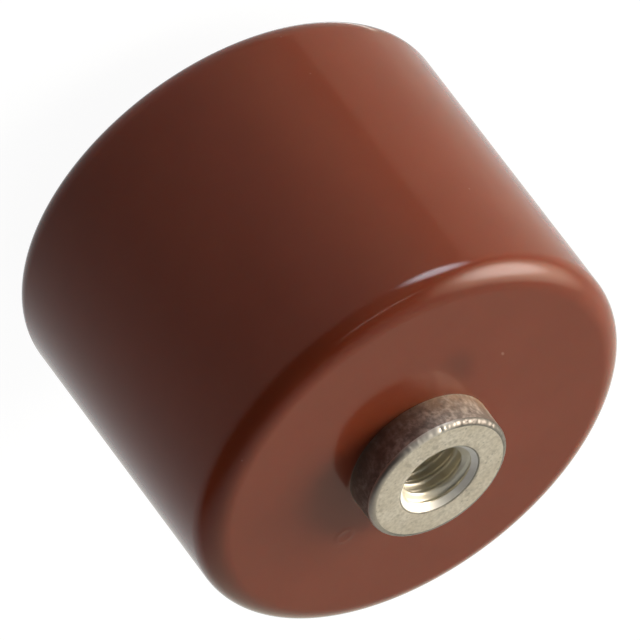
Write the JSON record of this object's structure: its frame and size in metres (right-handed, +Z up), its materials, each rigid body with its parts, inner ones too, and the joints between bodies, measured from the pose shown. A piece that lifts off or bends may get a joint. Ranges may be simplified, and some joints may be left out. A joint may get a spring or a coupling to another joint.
{
  "type": "screw-terminal ceramic disc capacitor",
  "caption": "Drum-shaped high-voltage ceramic disc capacitor cast in glossy red-brown epoxy, with a tapped metal screw terminal standing out of the middle of each end.",
  "frame": {"origin": "centre of the lower terminal's end face, on the capacitor's axis", "axes": "+Z up the capacitor's axis, out of the upper terminal's hole; X and Y across the drum"},
  "size_m": [0.0244, 0.0244, 0.0236],
  "materials": {
    "epoxy": "gloss",
    "ceramic": "matte",
    "silver": "satin",
    "solder": "satin",
    "terminal": "satin"
  },
  "bodies": {
    "root": {"epoxy_body": "epoxy", "ceramic_disc": "ceramic", "upper_electrode": "silver", "lower_electrode": "silver", "upper_solder": "solder", "lower_solder": "solder", "upper_terminal": "terminal", "lower_terminal": "terminal"}
  },
  "joints": []
}
